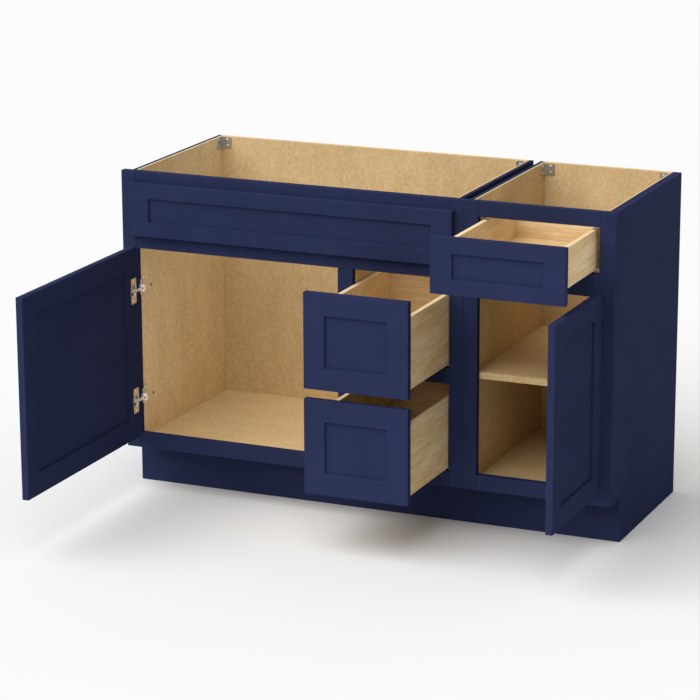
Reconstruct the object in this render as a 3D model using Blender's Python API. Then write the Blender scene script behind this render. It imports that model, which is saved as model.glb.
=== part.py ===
"""Face-frame bathroom vanity cabinet: a sink cabinet with two drawers, joined to a drawer-over-door cabinet.

Bench frame used below: x from the left end of the face frames, y back from their front plane, z up from
the floor, in metres. The doors and drawers are modelled shut and then opened by the empties that carry them.
"""
import math

import bmesh
import bpy
from mathutils import Matrix, Vector

# --- Whole cabinet -------------------------------------------------------------------------------
WIDTH = 1.3716
DEPTH = 0.5334
HEIGHT = 0.8763
LEFT_CABINET_WIDTH = 0.970
CLEARANCE = 0.0003
FIT = 0.0006

# --- Face frames ---------------------------------------------------------------------------------
FRAME_THICKNESS = 0.019
OUTER_STILE = 0.0425
JOINT_STILE = 0.038
MULLION = 0.0425
DOOR_OPENING_WIDTH = 0.5795
TOP_RAIL_BOTTOM = 0.8363
LEFT_MIDDLE_RAIL = (0.6685, 0.7185)
RIGHT_MIDDLE_RAIL = (0.659, 0.7185)
DRAWER_RAIL = (0.392, 0.4346)
BOTTOM_RAIL = (0.117, 0.1585)
ARRIS = 0.0008

MULLION_X = OUTER_STILE + DOOR_OPENING_WIDTH
DRAWER_OPENING = (MULLION_X + MULLION, LEFT_CABINET_WIDTH - JOINT_STILE)
LEFT_DOOR_OPENING = (OUTER_STILE, MULLION_X)
RIGHT_OPENING = (LEFT_CABINET_WIDTH + JOINT_STILE, WIDTH - OUTER_STILE)

# --- Carcass panels ------------------------------------------------------------------------------
SIDE_THICKNESS = 0.015
INNER_SIDE_THICKNESS = 0.012
BACK_THICKNESS = 0.0127
SHELF_THICKNESS = 0.018
LEFT_SIDE_X = 0.026
JOINT_GAP_LEFT = 0.010
JOINT_GAP_RIGHT = 0.0105
RIGHT_SIDE_X = 1.345
FLOOR_TOP = 0.142
FLOOR_THICKNESS = 0.015
SHELF_TOP = 0.428
TOE_RECESS = 0.0795
TOE_THICKNESS = 0.012
DIVIDER_THICKNESS = 0.012
CLEAT_BELOW_RAIL = 0.030
CLEAT_ABOVE_RAIL = 0.010
CLEAT_STAND_OUT = 0.0085

# --- Doors and drawer fronts ---------------------------------------------------------------------
FRONT_THICKNESS = 0.019
BUMPER_GAP = 0.002
STILE_WIDTH = 0.057
SHORT_RAIL_WIDTH = 0.040
PANEL_RECESS = 0.0064
PANEL_THICKNESS = 0.0062
GROOVE_DEPTH = 0.008
EDGE_ROUND = 0.0015
ROUND_MIDDLE = 1 - math.sqrt(0.5)
WIDE_OVERLAY = 0.0124
RIGHT_EDGE_OVERLAY = 0.015
NARROW_OVERLAY = 0.0075
LOWER_FRONTS = (0.1525, 0.676)
UPPER_FRONTS = (0.705, 0.848)
DRAWER_FRONT_GAP = 0.026
DRAWER_FRONT_HEIGHT = (LOWER_FRONTS[1] - LOWER_FRONTS[0] - DRAWER_FRONT_GAP) / 2

# --- Drawer boxes and their runners --------------------------------------------------------------
BOX_WALL = 0.0127
BOX_LENGTH = 0.495
BOX_SIDE_GAP = 0.003
BOX_LIFT = 0.0085
TALL_BOX = 0.186
SHORT_BOX = 0.102
BOTTOM_THICKNESS = 0.006
BOTTOM_HEIGHT = 0.010
BOTTOM_GROOVE = 0.005
RUNNER_LENGTH = 0.470
RUNNER_STEEL = 0.0014
RUNNER_WEB_HEIGHT = 0.009
RUNNER_TRACK_GAP = 0.001
RUNNER_FOOT = (0.0045, 0.014)

# --- Opening motion ------------------------------------------------------------------------------
DOOR_ANGLE = math.radians(90)
DRAWER_PULL = 0.271
PIVOT_INSET = 0.0026
PIVOT_DEPTH = 0.0046

# --- Hinges --------------------------------------------------------------------------------------
HINGE_FROM_DOOR_TOP = 0.1165
HINGE_FROM_DOOR_BOTTOM = 0.1055
CUP_FROM_EDGE = 0.0225
CUP_RADIUS = 0.0172
CUP_WALL = 0.0015
CUP_DEPTH = 0.011
CUP_FLOOR = 0.001
BORE_CLEARANCE = 0.0004
PLATE_THICKNESS = 0.0012
PLATE_WIDTH = 0.029
PLATE_HEIGHT = 0.069
ARM_HEIGHT = 0.0185
CLIP_HEIGHT = 0.042
CLIP_OUT = 0.0025
CLIP_INSET = 0.001
BLOCK_OUT = (0.0015, 0.017)
BLOCK_Y = (0.0005, 0.0145)
NOSE_OUT = (0.0072, 0.0152)
NOSE_Y = (-0.0105, 0.012)
NOSE_HEIGHT = 0.010
ROUND_SIDES = 28

# --- Corner brackets -----------------------------------------------------------------------------
BRACKET_LEG = 0.029
BRACKET_HEIGHT = 0.032
BRACKET_STEEL = 0.0018
BRACKET_DROP = 0.002

LEFT_DOOR_EDGES = (LEFT_DOOR_OPENING[0] - WIDE_OVERLAY, LEFT_DOOR_OPENING[1] + WIDE_OVERLAY)
RIGHT_DOOR_EDGES = (RIGHT_OPENING[0] - WIDE_OVERLAY, RIGHT_OPENING[1] + RIGHT_EDGE_OVERLAY)
DRAWER_EDGES = (DRAWER_OPENING[0] - NARROW_OVERLAY, DRAWER_OPENING[1] + NARROW_OVERLAY)
FALSE_FRONT_EDGES = (LEFT_DOOR_EDGES[0], DRAWER_OPENING[1] + WIDE_OVERLAY)
CLEAT_FACES = (RIGHT_OPENING[0] + CLEAT_STAND_OUT, RIGHT_OPENING[1] - CLEAT_STAND_OUT)
BOX_Z = {
    "upper": (DRAWER_RAIL[1] + BOX_LIFT, DRAWER_RAIL[1] + BOX_LIFT + TALL_BOX),
    "lower": (BOTTOM_RAIL[1] + BOX_LIFT, BOTTOM_RAIL[1] + BOX_LIFT + TALL_BOX),
    "right": (RIGHT_MIDDLE_RAIL[1] + BOX_LIFT, RIGHT_MIDDLE_RAIL[1] + BOX_LIFT + SHORT_BOX),
}

# The origin is on the floor, midway between the back and the open left door's free edge.
PIVOT_Y = -BUMPER_GAP - FRONT_THICKNESS + PIVOT_DEPTH
DOOR_REACH = LEFT_DOOR_EDGES[1] - LEFT_DOOR_EDGES[0] - PIVOT_INSET - PIVOT_Y
ORIGIN = Vector((-WIDTH / 2, (DOOR_REACH - DEPTH) / 2, 0))


def clear_scene():
    for item in list(bpy.data.objects):
        bpy.data.objects.remove(item, do_unlink=True)


def material(name, color, roughness, metallic=0.0):
    made = bpy.data.materials.new(name)
    made.use_nodes = True
    shader = made.node_tree.nodes["Principled BSDF"]
    shader.inputs["Base Color"].default_value = (*color, 1)
    shader.inputs["Roughness"].default_value = roughness
    shader.inputs["Metallic"].default_value = metallic
    return made


def empty(name, location, parent=None, turn=0.0):
    made = bpy.data.objects.new(name, None)
    bpy.context.scene.collection.objects.link(made)
    made.parent = parent
    made.location = location
    made.rotation_euler = (0, 0, turn)
    return made


def add_object(name, mesh_data, parent, shut_at):
    """An object whose mesh is in the bench frame, carried by an empty that stands at shut_at when shut."""
    mesh = bpy.data.meshes.new(name)
    bmesh.ops.recalc_face_normals(mesh_data, faces=mesh_data.faces)
    mesh_data.to_mesh(mesh)
    mesh_data.free()
    made = bpy.data.objects.new(name, mesh)
    bpy.context.scene.collection.objects.link(made)
    made.parent = parent
    made.location = -Vector(shut_at)
    return made


def slab_mesh(low, high):
    shape = bmesh.new()
    low, high = Vector(low), Vector(high)
    size = high - low
    bmesh.ops.create_cube(shape, size=1.0)
    bmesh.ops.scale(shape, vec=size, verts=shape.verts)
    bmesh.ops.translate(shape, vec=(low + high) / 2, verts=shape.verts)
    return shape


def prism_mesh(outline, axis, start, end):
    """An outline in the two other axes (in x, y, z order), extruded along axis from start to end."""
    shape = bmesh.new()
    others = [i for i in range(3) if i != axis]
    corners = []
    for first, second in outline:
        point = [0.0, 0.0, 0.0]
        point[axis] = start
        point[others[0]] = first
        point[others[1]] = second
        corners.append(shape.verts.new(point))
    face = shape.faces.new(corners)
    grown = bmesh.ops.extrude_face_region(shape, geom=[face])
    moved = [item for item in grown["geom"] if isinstance(item, bmesh.types.BMVert)]
    shift = Vector((0, 0, 0))
    shift[axis] = end - start
    bmesh.ops.translate(shape, vec=shift, verts=moved)
    return shape


def loop_of(shape, plane, half, depth):
    """Four corners of a centred rectangle: plane 'xz' runs depth along -y, plane 'xy' runs it along z."""
    signs = ((-1, -1), (1, -1), (1, 1), (-1, 1))
    if plane == "xz":
        return [shape.verts.new((a * half[0], depth, b * half[1])) for a, b in signs]
    return [shape.verts.new((a * half[0], b * half[1], depth)) for a, b in signs]


def bridge(shape, first, second):
    for i in range(4):
        j = (i + 1) % 4
        shape.faces.new((first[i], first[j], second[j], second[i]))


def mitred_frame_mesh(plane, size, walls, section):
    """A rectangular frame: section lists (edge, inset, depth), with insets from its outer or inner edge."""
    shape = bmesh.new()
    loops = []
    for edge, inset, depth in section:
        wall = (0, 0) if edge == "outer" else walls
        half = (size[0] / 2 - wall[0] - inset, size[1] / 2 - wall[1] - inset)
        loops.append(loop_of(shape, plane, half, depth))
    for i, loop in enumerate(loops):
        bridge(shape, loop, loops[(i + 1) % len(loops)])
    return shape


def front_section(front, back):
    """The section of a shaker front's stiles and rails, with a groove that holds the panel."""
    r = EDGE_ROUND
    slot = (front + PANEL_RECESS - CLEARANCE, front + PANEL_RECESS + PANEL_THICKNESS + CLEARANCE)
    return [
        ("outer", r, front),
        ("inner", -r / 2, front),
        ("inner", 0, front + r / 2),
        ("inner", 0, slot[0]),
        ("inner", -GROOVE_DEPTH, slot[0]),
        ("inner", -GROOVE_DEPTH, slot[1]),
        ("inner", 0, slot[1]),
        ("inner", 0, back - r / 2),
        ("inner", -r / 2, back),
        ("outer", r / 2, back),
        ("outer", 0, back - r / 2),
        ("outer", 0, front + r),
        ("outer", r * ROUND_MIDDLE, front + r * ROUND_MIDDLE),
    ]


def one_piece_front_mesh(size, walls, front, back):
    """A closed shaker front: a border raised on both sides of the panel inside it."""
    shape = bmesh.new()
    r = EDGE_ROUND
    panel = (front + PANEL_RECESS, front + PANEL_RECESS + PANEL_THICKNESS)
    section = [
        ("inner", 0, panel[0]),
        ("inner", 0, front + r / 2),
        ("inner", -r / 2, front),
        ("outer", r, front),
        ("outer", r * ROUND_MIDDLE, front + r * ROUND_MIDDLE),
        ("outer", 0, front + r),
        ("outer", 0, back - r / 2),
        ("outer", r / 2, back),
        ("inner", -r / 2, back),
        ("inner", 0, back - r / 2),
        ("inner", 0, panel[1]),
    ]
    loops = []
    for edge, inset, depth in section:
        wall = (0, 0) if edge == "outer" else walls
        half = (size[0] / 2 - wall[0] - inset, size[1] / 2 - wall[1] - inset)
        loops.append(loop_of(shape, "xz", half, depth))
    for first, second in zip(loops, loops[1:]):
        bridge(shape, first, second)
    shape.faces.new(loops[0])
    shape.faces.new(loops[-1])
    return shape


def soften(item, width=ARRIS):
    bevel = item.modifiers.new("arris", "BEVEL")
    bevel.width = width
    bevel.segments = 2
    bevel.limit_method = "ANGLE"
    return item


def cutter(name, mesh_data, parent, shut_at):
    made = add_object(name, mesh_data, parent, shut_at)
    made.hide_render = True
    made.display_type = "WIRE"
    return made


def boolean(item, other, operation):
    change = item.modifiers.new(operation.lower(), "BOOLEAN")
    change.operation = operation
    change.object = other
    change.solver = "EXACT"


def cylinder_mesh(center, axis, radius, start, end):
    shape = bmesh.new()
    bmesh.ops.create_cone(
        shape,
        cap_ends=True,
        segments=ROUND_SIDES,
        radius1=radius,
        radius2=radius,
        depth=end - start,
    )
    if axis == 1:
        bmesh.ops.rotate(shape, verts=shape.verts, matrix=Matrix.Rotation(math.pi / 2, 3, "X"))
    place = Vector(center)
    place[axis] = (start + end) / 2
    bmesh.ops.translate(shape, vec=place, verts=shape.verts)
    return shape


class Carrier:
    """What a sub-part hangs from: an empty, and where that empty stands in the bench frame when shut."""

    def __init__(self, node, shut_at=(0, 0, 0)):
        self.node = node
        self.shut_at = shut_at

    def add(self, name, mesh_data, finish):
        made = add_object(name, mesh_data, self.node, self.shut_at)
        made.data.materials.append(finish)
        return made

    def slab(self, name, low, high, finish, rounded=True):
        made = self.add(name, slab_mesh(low, high), finish)
        return soften(made) if rounded else made

    def cut(self, item, name, mesh_data, operation="DIFFERENCE"):
        boolean(item, cutter(name, mesh_data, self.node, self.shut_at), operation)


def frame_member(carrier, name, span_x, span_z, finish):
    """A stile or rail of a face frame, trimmed by half a joint gap wherever it meets another."""
    gap = CLEARANCE / 2
    low = (span_x[0] + gap, 0, span_z[0] + gap)
    high = (span_x[1] - gap, FRAME_THICKNESS, span_z[1] - gap)
    return carrier.slab(name, low, high, finish)


def build_left_face_frame(carrier, paint):
    full = (BOTTOM_RAIL[0], HEIGHT)
    between = (OUTER_STILE, LEFT_CABINET_WIDTH - JOINT_STILE)
    mullion = (MULLION_X, MULLION_X + MULLION)
    frame_member(carrier, "left_frame_outer_stile", (0, OUTER_STILE), full, paint)
    frame_member(carrier, "left_frame_joint_stile", (between[1], LEFT_CABINET_WIDTH), full, paint)
    frame_member(carrier, "left_frame_top_rail", between, (TOP_RAIL_BOTTOM, HEIGHT), paint)
    frame_member(carrier, "left_frame_middle_rail", between, LEFT_MIDDLE_RAIL, paint)
    frame_member(carrier, "left_frame_bottom_rail", between, BOTTOM_RAIL, paint)
    frame_member(carrier, "left_frame_mullion", mullion, (BOTTOM_RAIL[1], LEFT_MIDDLE_RAIL[0]), paint)
    frame_member(carrier, "left_frame_drawer_rail", DRAWER_OPENING, DRAWER_RAIL, paint)


def build_right_face_frame(carrier, paint):
    full = (BOTTOM_RAIL[0], HEIGHT)
    joint = (LEFT_CABINET_WIDTH, RIGHT_OPENING[0])
    frame_member(carrier, "right_frame_joint_stile", joint, full, paint)
    frame_member(carrier, "right_frame_outer_stile", (RIGHT_OPENING[1], WIDTH), full, paint)
    frame_member(carrier, "right_frame_top_rail", RIGHT_OPENING, (TOP_RAIL_BOTTOM, HEIGHT), paint)
    frame_member(carrier, "right_frame_middle_rail", RIGHT_OPENING, RIGHT_MIDDLE_RAIL, paint)
    frame_member(carrier, "right_frame_bottom_rail", RIGHT_OPENING, BOTTOM_RAIL, paint)


def side_panel(carrier, name, span_x, finish):
    """An end panel behind the face frame, notched at the bottom front for the toe kick."""
    front = FRAME_THICKNESS + CLEARANCE
    notch = TOE_RECESS + TOE_THICKNESS + CLEARANCE
    outline = [
        (notch, 0),
        (DEPTH, 0),
        (DEPTH, HEIGHT),
        (front, HEIGHT),
        (front, BOTTOM_RAIL[0]),
        (notch, BOTTOM_RAIL[0]),
    ]
    return carrier.add(name, prism_mesh(outline, 0, *span_x), finish)


def build_carcass(carrier, prefix, inner_x, ply):
    """The floor and the back of one cabinet, between its two sides."""
    low_x, high_x = inner_x[0] + CLEARANCE, inner_x[1] - CLEARANCE
    back_y = DEPTH - BACK_THICKNESS
    front = FRAME_THICKNESS + CLEARANCE
    floor_low = (low_x, front, FLOOR_TOP - FLOOR_THICKNESS)
    floor_high = (high_x, back_y - CLEARANCE, FLOOR_TOP)
    carrier.slab(prefix + "_cabinet_floor", floor_low, floor_high, ply, rounded=False)
    carrier.slab(prefix + "_cabinet_back", (low_x, back_y, 0), (high_x, DEPTH, HEIGHT), ply, rounded=False)


def toe_kick(carrier, name, span_x, finish):
    top = BOTTOM_RAIL[0] - CLEARANCE
    low = (span_x[0], TOE_RECESS, 0)
    high = (span_x[1], TOE_RECESS + TOE_THICKNESS, top)
    return carrier.slab(name, low, high, finish)


def corner_bracket(carrier, name, corner_x, toward, steel):
    """An angle bracket, screwed to the side and the back in a rear top corner."""
    top = HEIGHT - BRACKET_DROP
    back_y = DEPTH - BACK_THICKNESS - CLEARANCE
    wall_x = corner_x + toward * CLEARANCE
    outline = [
        (wall_x, back_y),
        (wall_x + toward * BRACKET_LEG, back_y),
        (wall_x + toward * BRACKET_LEG, back_y - BRACKET_STEEL),
        (wall_x + toward * BRACKET_STEEL, back_y - BRACKET_STEEL),
        (wall_x + toward * BRACKET_STEEL, back_y - BRACKET_LEG),
        (wall_x, back_y - BRACKET_LEG),
    ]
    return carrier.add(name, prism_mesh(outline, 2, top - BRACKET_HEIGHT, top), steel)


def shaker_front(carrier, name, span_x, span_z, rail_width, back_y, finish):
    """A door: a mitred frame and the flat panel that floats in its groove."""
    size = (span_x[1] - span_x[0], span_z[1] - span_z[0])
    center = Vector(((span_x[0] + span_x[1]) / 2, 0, (span_z[0] + span_z[1]) / 2))
    front_y = back_y - FRONT_THICKNESS
    walls = (STILE_WIDTH, rail_width)
    frame = mitred_frame_mesh("xz", size, walls, front_section(front_y, back_y))
    bmesh.ops.translate(frame, vec=center, verts=frame.verts)
    made = carrier.add(name + "_frame", frame, finish)
    reach = GROOVE_DEPTH - FIT
    half = Vector((size[0] / 2 - walls[0] + reach, 0, size[1] / 2 - walls[1] + reach))
    low, high = center - half, center + half
    low.y = front_y + PANEL_RECESS
    high.y = low.y + PANEL_THICKNESS
    carrier.slab(name + "_panel", low, high, finish, rounded=False)
    return made


def one_piece_front(carrier, name, span_x, span_z, rail_width, back_y, finish):
    """A drawer front or false front, whose centre panel is one with its raised border."""
    size = (span_x[1] - span_x[0], span_z[1] - span_z[0])
    center = ((span_x[0] + span_x[1]) / 2, 0, (span_z[0] + span_z[1]) / 2)
    front = one_piece_front_mesh(size, (STILE_WIDTH, rail_width), back_y - FRONT_THICKNESS, back_y)
    bmesh.ops.translate(front, vec=center, verts=front.verts)
    carrier.add(name, front, finish)


def hinge_cup(carrier, name, center_x, center_z, steel):
    """The door's half of a hinge: an open cup sunk in the door, with a screw plate on the door's face."""
    face = -BUMPER_GAP + CLEARANCE
    center = (center_x, 0, center_z)
    low = (center_x - PLATE_WIDTH / 2, face, center_z - PLATE_HEIGHT / 2)
    high = (center_x + PLATE_WIDTH / 2, face + PLATE_THICKNESS, center_z + PLATE_HEIGHT / 2)
    cup = carrier.add(name, slab_mesh(low, high), steel)
    bowl = cylinder_mesh(center, 1, CUP_RADIUS, face - CUP_DEPTH, face + PLATE_THICKNESS)
    hollow = cylinder_mesh(center, 1, CUP_RADIUS - CUP_WALL, face - CUP_DEPTH + CUP_FLOOR, face + CUP_DEPTH)
    carrier.cut(cup, name + "_bowl", bowl, "UNION")
    carrier.cut(cup, name + "_hollow", hollow)
    return cup


def cup_bore(carrier, door, name, center_x, center_z):
    radius = CUP_RADIUS + BORE_CLEARANCE
    bottom = -BUMPER_GAP - CUP_DEPTH - BORE_CLEARANCE
    carrier.cut(door, name, cylinder_mesh((center_x, 0, center_z), 1, radius, bottom, FRONT_THICKNESS))


def hinge_arm(carrier, name, stile_x, toward, center_z, steel):
    """The frame's half of a hinge: a clip on the stile's edge and an arm whose nose reaches into the cup."""

    def plate(out, span_y, height):
        xs = sorted((stile_x + toward * out[0], stile_x + toward * out[1]))
        low = (xs[0], span_y[0], center_z - height / 2)
        high = (xs[1], span_y[1], center_z + height / 2)
        return slab_mesh(low, high)

    clip_y = (CLIP_INSET, FRAME_THICKNESS - CLIP_INSET)
    arm = carrier.add(name, plate((CLEARANCE, CLIP_OUT), clip_y, CLIP_HEIGHT), steel)
    block = plate(BLOCK_OUT, BLOCK_Y, ARM_HEIGHT)
    nose = plate(NOSE_OUT, NOSE_Y, NOSE_HEIGHT)
    carrier.cut(arm, name + "_block", block, "UNION")
    carrier.cut(arm, name + "_nose", nose, "UNION")
    return arm


def build_door(cabinet, side, opening, edges, hinge_side, paint, steel, turn):
    """A door on two hinges. hinge_side is 0 for the left edge of the opening and 1 for the right."""
    toward = 1 if hinge_side == 0 else -1
    edge = edges[hinge_side]
    pivot = (edge + toward * PIVOT_INSET, PIVOT_Y, 0)
    carrier = Carrier(empty(side + "_door_pivot", pivot, cabinet.node, turn), pivot)
    door = shaker_front(carrier, side + "_door", edges, LOWER_FRONTS, STILE_WIDTH, -BUMPER_GAP, paint)
    heights = {
        "lower": LOWER_FRONTS[0] + HINGE_FROM_DOOR_BOTTOM,
        "upper": LOWER_FRONTS[1] - HINGE_FROM_DOOR_TOP,
    }
    for level, z in heights.items():
        name = f"{side}_door_{level}_hinge"
        cup_x = edge + toward * CUP_FROM_EDGE
        cup_bore(carrier, door, name + "_bore", cup_x, z)
        hinge_cup(carrier, name + "_cup", cup_x, z, steel)
        hinge_arm(cabinet, name + "_arm", opening[hinge_side], toward, z, steel)


def drawer_box(carrier, name, span_x, span_z, birch, ply):
    """Four walls with a groove near the bottom, and the bottom panel that slides into it."""
    back = BOX_LENGTH - BUMPER_GAP + CLEARANCE
    front = -BUMPER_GAP + CLEARANCE
    size = (span_x[1] - span_x[0], back - front)
    center = Vector(((span_x[0] + span_x[1]) / 2, (front + back) / 2, 0))
    slot = (
        span_z[0] + BOTTOM_HEIGHT - CLEARANCE,
        span_z[0] + BOTTOM_HEIGHT + BOTTOM_THICKNESS + CLEARANCE,
    )
    section = [
        ("outer", 0, span_z[0]),
        ("inner", 0, span_z[0]),
        ("inner", 0, slot[0]),
        ("inner", -BOTTOM_GROOVE, slot[0]),
        ("inner", -BOTTOM_GROOVE, slot[1]),
        ("inner", 0, slot[1]),
        ("inner", 0, span_z[1] - ARRIS),
        ("inner", -ARRIS, span_z[1]),
        ("outer", ARRIS, span_z[1]),
        ("outer", 0, span_z[1] - ARRIS),
    ]
    walls = mitred_frame_mesh("xy", size, (BOX_WALL, BOX_WALL), section)
    bmesh.ops.translate(walls, vec=center, verts=walls.verts)
    carrier.add(name + "_box", walls, birch)
    reach = BOX_WALL - BOTTOM_GROOVE + FIT
    low = (span_x[0] + reach, front + reach, slot[0] + CLEARANCE)
    high = (span_x[1] - reach, back - reach, slot[1] - CLEARANCE)
    carrier.slab(name + "_bottom", low, high, ply, rounded=False)


def runner(cabinet, name, edge_x, toward, rail_top, steel):
    """A fixed undermount runner: a web against the wood beside the drawer box and a foot under its edge."""
    base = rail_top + FIT
    web_top = base + RUNNER_WEB_HEIGHT
    track_top = rail_top + BOX_LIFT - RUNNER_TRACK_GAP
    foot_start, foot_end = RUNNER_FOOT
    steps = [
        (CLEARANCE, base),
        (foot_end, base),
        (foot_end, track_top),
        (foot_start, track_top),
        (foot_start, base + RUNNER_STEEL),
        (CLEARANCE + RUNNER_STEEL, base + RUNNER_STEEL),
        (CLEARANCE + RUNNER_STEEL, web_top),
        (CLEARANCE, web_top),
    ]
    outline = [(edge_x + toward * out, z) for out, z in steps]
    start = FRAME_THICKNESS + 2 * CLEARANCE
    cabinet.add(name, prism_mesh(outline, 1, start, start + RUNNER_LENGTH), steel)


def build_drawer(cabinet, name, runner_edges, edges, span_z, rail_width, rail_top, finishes):
    """A drawer, pulled out, between the two faces of wood that carry its runners."""
    paint, birch, ply, steel = finishes
    shut_at = ((edges[0] + edges[1]) / 2, 0, (span_z[0] + span_z[1]) / 2)
    pulled = Vector(shut_at) + Vector((0, -DRAWER_PULL, 0))
    carrier = Carrier(empty(name + "_drawer_slide", pulled, cabinet.node), shut_at)
    one_piece_front(carrier, name + "_drawer_front", edges, span_z, rail_width, -BUMPER_GAP, paint)
    box_x = (runner_edges[0] + BOX_SIDE_GAP, runner_edges[1] - BOX_SIDE_GAP)
    drawer_box(carrier, name + "_drawer", box_x, BOX_Z[name], birch, ply)
    runner(cabinet, name + "_drawer_left_runner", runner_edges[0], 1, rail_top, steel)
    runner(cabinet, name + "_drawer_right_runner", runner_edges[1], -1, rail_top, steel)


def main():
    clear_scene()
    paint = material("navy_paint", (0.026, 0.033, 0.083), 0.42)
    ply = material("birch_plywood", (0.58, 0.41, 0.21), 0.55)
    birch = material("birch_solid", (0.62, 0.44, 0.24), 0.5)
    steel = material("hinge_steel", (0.72, 0.72, 0.70), 0.25, 1.0)
    zinc = material("zinc_plate", (0.60, 0.60, 0.58), 0.4, 1.0)

    cabinet = Carrier(empty("cabinet_frame", ORIGIN))
    build_left_face_frame(cabinet, paint)
    build_right_face_frame(cabinet, paint)

    left_inner = (LEFT_SIDE_X + SIDE_THICKNESS, LEFT_CABINET_WIDTH - JOINT_GAP_LEFT - SIDE_THICKNESS)
    right_inner = (LEFT_CABINET_WIDTH + JOINT_GAP_RIGHT + SIDE_THICKNESS, RIGHT_SIDE_X)
    side_panel(cabinet, "left_cabinet_left_side", (LEFT_SIDE_X, left_inner[0]), ply)
    side_panel(cabinet, "left_cabinet_right_side", (left_inner[1], left_inner[1] + SIDE_THICKNESS), ply)
    side_panel(cabinet, "right_cabinet_left_side", (right_inner[0] - SIDE_THICKNESS, right_inner[0]), ply)
    inner_side_end = RIGHT_SIDE_X + INNER_SIDE_THICKNESS
    side_panel(cabinet, "right_cabinet_right_side", (RIGHT_SIDE_X, inner_side_end), ply)
    side_panel(cabinet, "right_cabinet_end_skin", (inner_side_end + CLEARANCE, WIDTH), paint)
    build_carcass(cabinet, "left", left_inner, ply)
    build_carcass(cabinet, "right", right_inner, ply)

    half_gap = CLEARANCE / 2
    toe_kick(cabinet, "left_cabinet_toe_kick", (0, LEFT_CABINET_WIDTH - half_gap), paint)
    toe_kick(cabinet, "right_cabinet_toe_kick", (LEFT_CABINET_WIDTH + half_gap, WIDTH), paint)

    front = FRAME_THICKNESS + CLEARANCE
    back = DEPTH - BACK_THICKNESS - CLEARANCE
    divider_low = (DRAWER_OPENING[0] - DIVIDER_THICKNESS, front, FLOOR_TOP + CLEARANCE)
    divider_high = (DRAWER_OPENING[0], back, LEFT_MIDDLE_RAIL[1])
    cabinet.slab("left_cabinet_divider", divider_low, divider_high, ply, rounded=False)
    filler_low = (DRAWER_OPENING[1], front, FLOOR_TOP + CLEARANCE)
    filler_high = (left_inner[1] - CLEARANCE, back, LEFT_MIDDLE_RAIL[1])
    cabinet.slab("left_cabinet_runner_filler", filler_low, filler_high, ply, rounded=False)
    cleat_z = (RIGHT_MIDDLE_RAIL[1] - CLEAT_BELOW_RAIL, RIGHT_MIDDLE_RAIL[1] + CLEAT_ABOVE_RAIL)
    cleats = {
        "left": (right_inner[0] + CLEARANCE, CLEAT_FACES[0]),
        "right": (CLEAT_FACES[1], right_inner[1] - CLEARANCE),
    }
    for side, span_x in cleats.items():
        low = (span_x[0], front, cleat_z[0])
        cabinet.slab(f"right_cabinet_{side}_cleat", low, (span_x[1], back, cleat_z[1]), birch)
    shelf_low = (right_inner[0] + FIT, front, SHELF_TOP - SHELF_THICKNESS)
    shelf_high = (right_inner[1] - FIT, back, SHELF_TOP)
    cabinet.slab("right_cabinet_shelf", shelf_low, shelf_high, ply)

    corner_bracket(cabinet, "left_cabinet_left_bracket", left_inner[0], 1, zinc)
    corner_bracket(cabinet, "left_cabinet_right_bracket", left_inner[1], -1, zinc)
    corner_bracket(cabinet, "right_cabinet_left_bracket", right_inner[0], 1, zinc)
    corner_bracket(cabinet, "right_cabinet_right_bracket", right_inner[1], -1, zinc)

    false_x = FALSE_FRONT_EDGES
    one_piece_front(cabinet, "false_front", false_x, UPPER_FRONTS, SHORT_RAIL_WIDTH, -CLEARANCE, paint)
    build_door(cabinet, "left", LEFT_DOOR_OPENING, LEFT_DOOR_EDGES, 0, paint, steel, -DOOR_ANGLE)
    build_door(cabinet, "right", RIGHT_OPENING, RIGHT_DOOR_EDGES, 1, paint, steel, DOOR_ANGLE)

    finishes = (paint, birch, ply, zinc)
    lower = (LOWER_FRONTS[0], LOWER_FRONTS[0] + DRAWER_FRONT_HEIGHT)
    upper = (LOWER_FRONTS[1] - DRAWER_FRONT_HEIGHT, LOWER_FRONTS[1])
    stack = {"upper": (upper, DRAWER_RAIL[1]), "lower": (lower, BOTTOM_RAIL[1])}
    for name, (span_z, rail_top) in stack.items():
        build_drawer(cabinet, name, DRAWER_OPENING, DRAWER_EDGES, span_z, STILE_WIDTH, rail_top, finishes)
    build_drawer(
        cabinet,
        "right",
        CLEAT_FACES,
        RIGHT_DOOR_EDGES,
        UPPER_FRONTS,
        SHORT_RAIL_WIDTH,
        RIGHT_MIDDLE_RAIL[1],
        finishes,
    )


main()
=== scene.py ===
"""Looks of a face-frame bathroom vanity cabinet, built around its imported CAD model.

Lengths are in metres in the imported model's frame: +X right, +Y towards the wall, +Z up from the floor.
"""

import math

import bmesh
import bpy
from mathutils import Matrix, Vector


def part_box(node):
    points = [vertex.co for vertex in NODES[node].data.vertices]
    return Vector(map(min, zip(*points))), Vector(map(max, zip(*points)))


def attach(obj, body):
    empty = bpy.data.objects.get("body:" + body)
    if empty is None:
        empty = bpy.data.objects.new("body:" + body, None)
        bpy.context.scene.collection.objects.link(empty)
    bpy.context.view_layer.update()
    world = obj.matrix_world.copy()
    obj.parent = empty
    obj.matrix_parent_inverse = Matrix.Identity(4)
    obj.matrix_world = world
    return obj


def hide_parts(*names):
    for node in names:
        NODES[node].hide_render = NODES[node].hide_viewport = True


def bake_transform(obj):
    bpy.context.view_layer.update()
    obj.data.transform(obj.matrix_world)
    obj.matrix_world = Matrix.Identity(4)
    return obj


# --- Finishes, as linear colours -----------------------------------------------------------------
NAVY = (0.0212, 0.0278, 0.0715)
# Lighter navy mixed in along the paint's sharp edges: a painted highlight.
NAVY_PAINTED_HIGHLIGHT = (0.034, 0.045, 0.108)
PANEL_LIGHT = (0.67, 0.490, 0.265)
PANEL_DARK = (0.54, 0.385, 0.195)
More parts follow.
